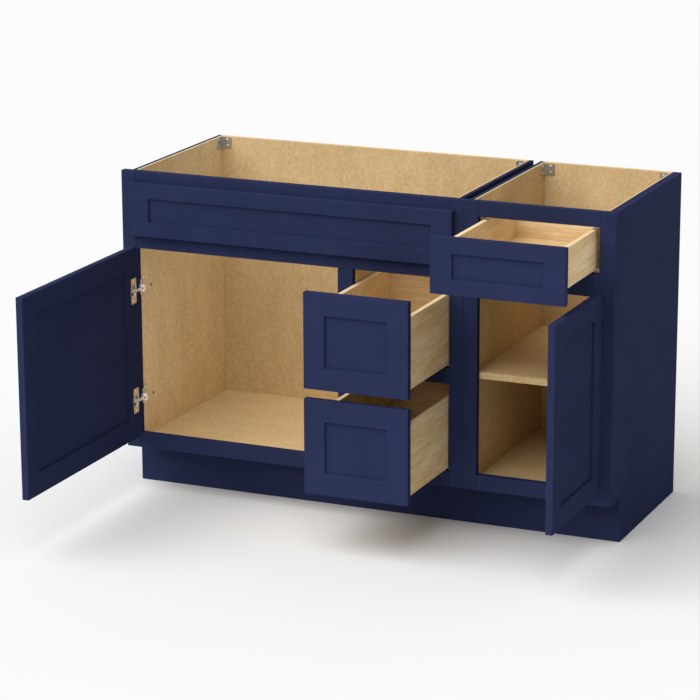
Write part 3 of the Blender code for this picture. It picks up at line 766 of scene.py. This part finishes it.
# --- Hinges --------------------------------------------------------------------------------------
def cup_outline():
    """A round flange with a rounded wing above and below it for the screws."""
    meet = math.degrees(math.acos(PLATE_HALF_WIDTH / CUP_RIM_RADIUS))
    top = PLATE_HALF_HEIGHT - PLATE_CORNER
    right = PLATE_HALF_WIDTH - PLATE_CORNER
    outline = arc((0, 0), CUP_RIM_RADIUS, -meet, meet, FLANGE_STEPS)
    outline += arc((right, top), PLATE_CORNER, 0, 90)
    outline += arc((-right, top), PLATE_CORNER, 90, 180)
    outline += arc((0, 0), CUP_RIM_RADIUS, 180 - meet, 180 + meet, FLANGE_STEPS)
    outline += arc((-right, -top), PLATE_CORNER, 180, 270)
    outline += arc((right, -top), PLATE_CORNER, 270, 360)
    return outline


def cup_mesh():
    """The pressed cup and its plate."""
    bottom = -PLATE_THICKNESS - CUP_DEPTH
    outside = [(0, bottom), (CUP_RIM_RADIUS - CUP_CORNER, bottom)]
    outside += arc((CUP_RIM_RADIUS - CUP_CORNER, bottom + CUP_CORNER), CUP_CORNER, -90, 0, CUP_CORNER_STEPS)
    outside += [(CUP_RIM_RADIUS, -PLATE_THICKNESS / 2), (0, -PLATE_THICKNESS / 2)]
    floor = bottom + CUP_FLOOR
    inside = [(0, floor), (CUP_INNER_RADIUS - CUP_CORNER, floor)]
    inside += arc((CUP_INNER_RADIUS - CUP_CORNER, floor + CUP_CORNER), CUP_CORNER, -90, 0, CUP_CORNER_STEPS)
    inside += [(CUP_INNER_RADIUS, -CUP_LIP), (CUP_INNER_RADIUS + CUP_LIP, CUP_CUT_ABOVE), (0, CUP_CUT_ABOVE)]
    plate = prism(cup_outline(), -PLATE_THICKNESS, 0)
    return carved("hinge_cup", plate, [("UNION", lathe(outside)), ("DIFFERENCE", lathe(inside))])


def build_cup(side, level, mesh):
    """The cup's pressing with its two screws, two pins and two dampers, all riding on the door."""
    toward = SIDES[side]
    body = f"{side}_door"
    node = f"{side}_door_{level}_hinge_cup"
    low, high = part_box(node)
    face = Vector((face_x(node, toward), (low.y + high.y) / 2, (low.z + high.z) / 2))
    normal = (toward, 0, 0)
    piece(node + "_pressing", mesh, NICKEL_PLATE, body, facing(face, normal), [node])
    for end in (-1, 1):
        at = face + Vector((0, 0, end * CUP_SCREW_FROM_CENTER))
        name = f"{side}_door_{level}_cup_screw_{'top' if end > 0 else 'bottom'}"
        hinge_screw(name, at, normal, body)
    half = math.sqrt(CUP_INNER_RADIUS ** 2 - CUP_PIN_OFFSET ** 2) - CUP_PIN_PLAY
    tip_radius, tip_start = CUP_PIN_RADIUS - CUP_PIN_TIP, half - CUP_PIN_TIP
    profile = [(0, -half), (tip_radius, -half), (CUP_PIN_RADIUS, -tip_start),
               (CUP_PIN_RADIUS, tip_start), (tip_radius, half), (0, half)]
    for end in (-1, 1):
        pin = finish_mesh("hinge_pin", lathe(profile, PIN_STEPS))
        at = face + Vector((-toward * CUP_PIN_DEPTH, end * CUP_PIN_OFFSET, 0))
        name = f"{side}_door_{level}_cup_pin_{'near' if end > 0 else 'far'}"
        piece(name, pin, NICKEL_PLATE, body, Matrix.Translation(at))
    for end in (-1, 1):
        block = finish_mesh("hinge_damper", rounded_block(DAMPER_LOW, DAMPER_HIGH, DAMPER_ROUNDING))
        at = face + Vector((0, 0, end * DAMPER_FROM_CENTER))
        name = f"{side}_door_{level}_cup_damper_{'top' if end > 0 else 'bottom'}"
        piece(name, block, DAMPER_PLASTIC, body, facing(at, normal))


def arm_mesh():
    """The clip on the stile's edge, and the arm on it: crowned at the front, with a tongue and a notch."""
    clip_face = rounded_rectangle(CLIP_HALF_WIDTH, CLIP_HALF_HEIGHT, CLIP_CORNER)
    plate = prism(clip_face, 0.0, CLIP_THICKNESS)
    stand = Matrix(((0, 0, 1), (1, 0, 0), (0, 1, 0))).to_4x4()
    bmesh.ops.transform(plate, matrix=Matrix.Translation((0, CLIP_MIDDLE, 0)) @ stand, verts=plate.verts)
    shares = [i / ARM_CROWN_STEPS for i in range(ARM_CROWN_STEPS + 1)]
    inner, outer = ARM_OUT
    front, back = ARM_DEPTH
    outline = [(inner + (outer - inner) * t, front + ARM_CROWN * t ** 2) for t in shares]
    outline += [(outer, back), (inner, back)]
    body = prism(outline, -ARM_HALF_HEIGHT, ARM_HALF_HEIGHT)
    bmesh.ops.recalc_face_normals(body, faces=body.faces)
    sharp = [edge for edge in body.edges if edge.calc_face_angle(0) > SHARP_ANGLE]
    round_edges(body, sharp, ARM_ROUNDING)
    tongue = rounded_block(TONGUE_LOW, TONGUE_HIGH, TONGUE_ROUNDING)
    notch = rounded_block((outer - NOTCH_DEPTH, NOTCH_ALONG[0], -NOTCH_HALF_HEIGHT),
                          (outer + NOTCH_CUT_ABOVE, NOTCH_ALONG[1], NOTCH_HALF_HEIGHT), NOTCH_ROUNDING)
    return carved("hinge_arm", plate, [("UNION", body), ("UNION", tongue), ("DIFFERENCE", notch)])


def stile_place(side, level):
    """Where the arm's clip meets the stile's edge, at the frame's front plane and the hinge's height."""
    node = f"{side}_door_{level}_hinge_arm"
    low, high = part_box(node)
    return Vector((face_x(node, -SIDES[side]), FRAME_FRONT, (low.z + high.z) / 2))


def build_arm(side, level, mesh):
    """The clip and arm with two clip screws and a cam screw, on the cabinet. Right ones are mirrored."""
    toward = SIDES[side]
    start = stile_place(side, level)
    mirror = Matrix.Diagonal((toward, 1, 1, 1))
    own = mesh.copy()
    own.transform(mirror)
    if toward < 0:
        own.flip_normals()
    node = f"{side}_door_{level}_hinge_arm"
    piece(node + "_pressing", own, SATIN_NICKEL, "cabinet", Matrix.Translation(start), [node])
    normal = (toward, 0, 0)
    for end in (-1, 1):
        at = start + Vector((toward * CLIP_THICKNESS, CLIP_MIDDLE, end * CLIP_SCREW_FROM_CENTER))
        name = f"{side}_door_{level}_clip_screw_{'top' if end > 0 else 'bottom'}"
        hinge_screw(name, at, normal, "cabinet")
    at = start + Vector((toward * (ARM_OUT[1] - NOTCH_DEPTH), CAM_SCREW_ALONG, 0))
    hinge_screw(f"{side}_door_{level}_cam_screw", at, normal, "cabinet", SMALL_HINGE_SCREW)


def build_link(side, level):
    """The link from the arm's nose into the cup, curved along its path. It crosses the joint and rides on
    neither body.
    """
    toward = SIDES[side]
    start = stile_place(side, level)
    cup_low, cup_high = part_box(f"{side}_door_{level}_hinge_cup")
    cup_y = (cup_low.y + cup_high.y) / 2 - FRAME_FRONT
    path = [Vector(point) for point in (*LINK_PATH, (LINK_TIP_OUT, cup_y - LINK_TIP_PAST_CUP_CENTER))]
    points = []
    for first, second in zip(path, path[1:]):
        points += [first.lerp(second, i / LINK_STEPS) for i in range(LINK_STEPS)]
    points.append(path[-1])
    shape = bmesh.new()
    loops = []
    for i, point in enumerate(points):
        along = (points[min(i + 1, len(points) - 1)] - points[max(i - 1, 0)]).normalized()
        side_way = Vector((-along.y, along.x))
        share = i / (len(points) - 1)
        half_height = LINK_HALF_HEIGHT[0] + (LINK_HALF_HEIGHT[1] - LINK_HALF_HEIGHT[0]) * share
        half_thick = LINK_HALF_THICKNESS[0] + (LINK_HALF_THICKNESS[1] - LINK_HALF_THICKNESS[0]) * share
        loop = []
        for x, z in rounded_rectangle(half_thick, half_height, half_thick * LINK_ROUNDING):
            flat = point + side_way * x
            at = start + Vector((toward * flat.x, flat.y, z))
            loop.append(shape.verts.new(at))
        loops.append(loop)
    skin(shape, loops)
    name = f"{side}_door_{level}_hinge_link"
    link = in_scene(name, finish_mesh(name, shape))
    link.data.materials.append(SATIN_NICKEL)
    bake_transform(link)


def side_panel_place(side, level, behind_frame, above_hinge):
    """A point on the side panel's inner face, measured from the frame's back and the hinge's middle."""
    face = face_x(f"{side}_cabinet_{side}_side", SIDES[side])
    return Vector((face, FRAME_BACK + behind_frame, stile_place(side, level).z + above_hinge))


def build_side_fixings(side, level):
    """The round boss on the side panel, behind the stile, and a black lining in the hole below it, which makes
    the hole dark.
    """
    toward = SIDES[side]
    normal = (toward, 0, 0)
    at = side_panel_place(side, level, BOSS_BEHIND_FRAME, BOSS_ABOVE_HINGE)
    ring_top, ring_foot = (BOSS_RADIUS * share for share in BOSS_RING_SHARES)
    profile = [(0, 0), (BOSS_RADIUS, 0), (BOSS_RADIUS, BOSS_RIM_HEIGHT - BOSS_EDGE),
               (BOSS_RADIUS - BOSS_EDGE, BOSS_RIM_HEIGHT), (ring_top, BOSS_RING_HEIGHT),
               (ring_foot, BOSS_FLOOR_HEIGHT), (0, BOSS_FLOOR_HEIGHT)]
    mesh = finish_mesh("boss", lathe(profile))
    piece(f"{side}_door_{level}_round_boss", mesh, NICKEL_PLATE, "cabinet", facing(at, normal))
    name = f"{side}_door_{level}_boss_screw"
    hinge_screw(name, at + Vector((toward * BOSS_FLOOR_HEIGHT, 0, 0)), normal, "cabinet")
    # A black lining in the hole, which makes the hole dark.
    hole = side_panel_place(side, level, HOLE_BEHIND_FRAME, -HOLE_BELOW_HINGE)
    outer, inner = HOLE_RADIUS - SLEEVE_FIT, HOLE_RADIUS - SLEEVE_WALL
    bottom, lip = SLEEVE_FIT - HOLE_DEPTH, -HOLE_EASE
    sleeve = lathe([(0, bottom), (outer, bottom), (outer, lip), (inner, lip),
                    (inner, bottom + SLEEVE_WALL), (0, bottom + SLEEVE_WALL)])
    name = f"{side}_door_{level}_hole_sleeve"
    piece(name, finish_mesh("sleeve", sleeve), DAMPER_PLASTIC, "cabinet", facing(hole, normal))


def bored_panel(side):
    """The side panel at a door, standing for its CAD node, with a blind hole below and behind each hinge."""
    node = f"{side}_cabinet_{side}_side"
    mouth = HOLE_RADIUS + HOLE_EASE
    profile = [(0, -HOLE_DEPTH), (HOLE_RADIUS, -HOLE_DEPTH), (HOLE_RADIUS, -HOLE_EASE),
               (mouth, 0.0), (mouth, HOLE_CUT_ABOVE), (0, HOLE_CUT_ABOVE)]
    bores = []
    for level in LEVELS:
        at = side_panel_place(side, level, HOLE_BEHIND_FRAME, -HOLE_BELOW_HINGE)
        bore = lathe(profile)
        bmesh.ops.transform(bore, matrix=facing(at, (SIDES[side], 0, 0)), verts=bore.verts)
        bores.append(("DIFFERENCE", bore))
    shape = bmesh.new()
    shape.from_mesh(NODES[node].data)
    bmesh.ops.remove_doubles(shape, verts=shape.verts, dist=WELD_DISTANCE)
    bmesh.ops.dissolve_limit(shape, angle_limit=FLAT_ANGLE, verts=shape.verts, edges=shape.edges)
    mesh = carved(node + "_bored", shape, bores)
    panel = piece(node + "_panel", mesh, SIDE_FINISHES[node], "cabinet", None, [node])
    soften(panel, PANEL_ARRIS)


def build_hinges():
    cup, arm = cup_mesh(), arm_mesh()
    for side in SIDES:
        for level in LEVELS:
            build_cup(side, level, cup)
            build_arm(side, level, arm)
            build_link(side, level)
            build_side_fixings(side, level)
        bored_panel(side)


# --- Corner brackets -----------------------------------------------------------------------------
def bracket_mesh(low, high, toward):
    """An angle bent from sheet, with rounded free corners and a rounded bend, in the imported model's frame."""
    steel, bend, corner = BRACKET_STEEL, BRACKET_BEND, BRACKET_CORNER
    leg, middle = high.x - low.x, (low.z + high.z) / 2
    half = (high.z - low.z) / 2
    outer = bend + steel
    flat = leg - outer
    ease = [corner * (1 - math.cos(a)) for a in quarter()]
    eased = {d: half - corner + math.sqrt(corner ** 2 - (corner - d) ** 2) for d in ease}
    columns = [(Vector((d, 0)), Vector((d, steel)), eased[d]) for d in ease]
    columns.append((Vector((flat, 0)), Vector((flat, steel)), half))
    for a in quarter()[1:]:
        spoke = Vector((math.sin(a), -math.cos(a)))
        center = Vector((flat, outer))
        columns.append((center + spoke * outer, center + spoke * bend, half))
    for d in reversed(ease):
        columns.append((Vector((leg, leg - d)), Vector((leg - steel, leg - d)), eased[d]))
    wall_x = low.x if toward > 0 else high.x
    shape = bmesh.new()
    loops = []
    for outside, inside, height in columns:
        loop = []
        for flat_point, z in ((outside, -height), (outside, height), (inside, height), (inside, -height)):
            x = wall_x + toward * (leg - flat_point.x)
            y = high.y - flat_point.y
            loop.append(shape.verts.new((x, y, middle + z)))
        loops.append(loop)
    skin(shape, loops)
    return shape


def build_brackets():
    """A bracket in each back corner of each cabinet, with two screws in each leg."""
    from_corner, steel = BRACKET_SCREW_FROM_CORNER, BRACKET_STEEL
    for cabinet in SIDES:
        for side, toward in SIDES.items():
            node = f"{cabinet}_cabinet_{side}_bracket"
            low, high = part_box(node)
            mesh = finish_mesh(node + "_pressing", bracket_mesh(low, high, toward))
            piece(node + "_pressing", mesh, ZINC_PLATE, "cabinet", None, [node])
            wall_x = face_x(node, -toward)
            middle = (low.z + high.z) / 2
            for end in (-1, 1):
                z = middle + end * BRACKET_SCREW_UP
                word = "top" if end > 0 else "bottom"
                on_side = (wall_x + toward * steel, high.y - from_corner, z)
                on_back = (wall_x + toward * from_corner, high.y - steel, z)
                zinc_screw(f"{node}_side_screw_{word}", on_side, (toward, 0, 0), "cabinet")
                zinc_screw(f"{node}_back_screw_{word}", on_back, (0, -1, 0), "cabinet")


# --- Shelf pins and drawer screws ----------------------------------------------------------------
def build_shelf_pins():
    """Four pins under the shelf: a peg in the side panel, a collar close to its face and a tab."""
    low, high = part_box("right_cabinet_shelf")
    peg = [(0, -PEG_DEPTH), (PEG_TIP_RADIUS, -PEG_DEPTH), (PEG_RADIUS, PEG_TIP - PEG_DEPTH),
           (PEG_RADIUS, PEG_INTO_COLLAR), (0, PEG_INTO_COLLAR)]
    rim, top = COLLAR_RADIUS, COLLAR_HEIGHT
    collar = [(0, COLLAR_BASE), (rim - COLLAR_FOOT, COLLAR_BASE), (rim, COLLAR_BASE + COLLAR_EDGE),
              (rim, top - COLLAR_EDGE), (rim - COLLAR_EDGE, top), (0, top)]
    tab = rounded_block(TAB_LOW, TAB_HIGH, TAB_ROUNDING)
    mesh = carved("shelf_pin", lathe(collar), [("UNION", lathe(peg)), ("UNION", tab)])
    for side, toward in SIDES.items():
        x = face_x(f"right_cabinet_{side}_side", toward) + toward * PIN_OUT
        for word, y in (("front", low.y + PIN_FROM_SHELF_END), ("back", high.y - PIN_FROM_SHELF_END)):
            place = facing(Vector((x, y, low.z - PIN_BELOW_SHELF)), (toward, 0, 0))
            piece(f"shelf_pin_{side}_{word}", mesh, NICKEL_PLATE, "cabinet", place)


def build_drawer_screws():
    """The screws that hold each drawer's front, seen inside its box. Rows are shares of the box's height."""
    for name in DRAWERS:
        low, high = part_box(f"{name}_drawer_box")
        rows = DEEP_DRAWER_ROWS if high.z - low.z > DEEP_DRAWER else SHALLOW_DRAWER_ROWS
        for i, x in enumerate((low.x + DRAWER_SCREW_FROM_SIDE, high.x - DRAWER_SCREW_FROM_SIDE)):
            for k, share in enumerate(rows):
                at = (x, low.y + BOX_WALL, low.z + (high.z - low.z) * share)
                zinc_screw(f"{name}_drawer_screw_{i}_{k}", at, (0, 1, 0), f"{name}_drawer")


# --- Room, light and camera ----------------------------------------------------------------------
def build_floor():
    """A wide pale floor, a little below the cabinet's foot."""
    mesh = bpy.data.meshes.new("floor")
    ways = ((-1, -1), (1, -1), (1, 1), (-1, 1))
    corners = [(x * FLOOR_REACH, y * FLOOR_REACH, -FLOOR_DROP) for x, y in ways]
    mesh.from_pydata(corners, [], [(0, 1, 2, 3)])
    floor = in_scene("floor", mesh)
    m = Finish("floor_paint")
    tone = m.mix(m.noise(FLOOR_CLOUD), FLOOR_PALE, tuple(c * FLOOR_LIGHTER for c in FLOOR_PALE))
    mesh.materials.append(m.done(tone, FLOOR_ROUGHNESS))


def sun_light(name, toward_light, spread, power):
    """A distant soft light. Its spread is the angle that it covers in the sky, in degrees."""
    data = bpy.data.lights.new(name, "SUN")
    data.energy = power
    data.angle = math.radians(spread)
    lamp = in_scene(name, data)
    lamp.rotation_euler = Vector(toward_light).to_track_quat("Z", "Y").to_euler()


def build_light():
    """A soft key light in an evenly lit white room."""
    world = bpy.data.worlds.new("studio")
    bpy.context.scene.world = world
    world.use_nodes = True
    background = world.node_tree.nodes["Background"]
    background.inputs["Color"].default_value = (1, 1, 1, 1)
    background.inputs["Strength"].default_value = ROOM_LIGHT
    sun_light("key", KEY_FROM, KEY_SPREAD, KEY_POWER)


def build_camera():
    """The camera, from its place and its turn, tilt and roll in radians."""
    forward = Vector((math.sin(CAMERA_TURN) * math.cos(CAMERA_TILT),
                      math.cos(CAMERA_TURN) * math.cos(CAMERA_TILT), math.sin(CAMERA_TILT)))
    level = forward.cross(Vector((0, 0, 1))).normalized()
    upright = level.cross(forward)
    right = level * math.cos(CAMERA_ROLL) + upright * math.sin(CAMERA_ROLL)
    up = upright * math.cos(CAMERA_ROLL) - level * math.sin(CAMERA_ROLL)
    data = bpy.data.cameras.new("camera")
    data.sensor_width = CAMERA_SENSOR
    data.lens = CAMERA_LENS
    data.clip_end = CAMERA_REACH
    camera = in_scene("camera", data)
    turn = Matrix((right, up, -forward)).transposed().to_4x4()
    camera.matrix_world = Matrix.Translation(CAMERA_AT) @ turn
    bpy.context.scene.camera = camera


dress_cabinet()
dress_doors_and_drawers()
build_hinges()
build_brackets()
build_shelf_pins()
build_drawer_screws()
build_floor()
build_light()
build_camera()
bpy.context.scene.view_settings.view_transform = "Standard"
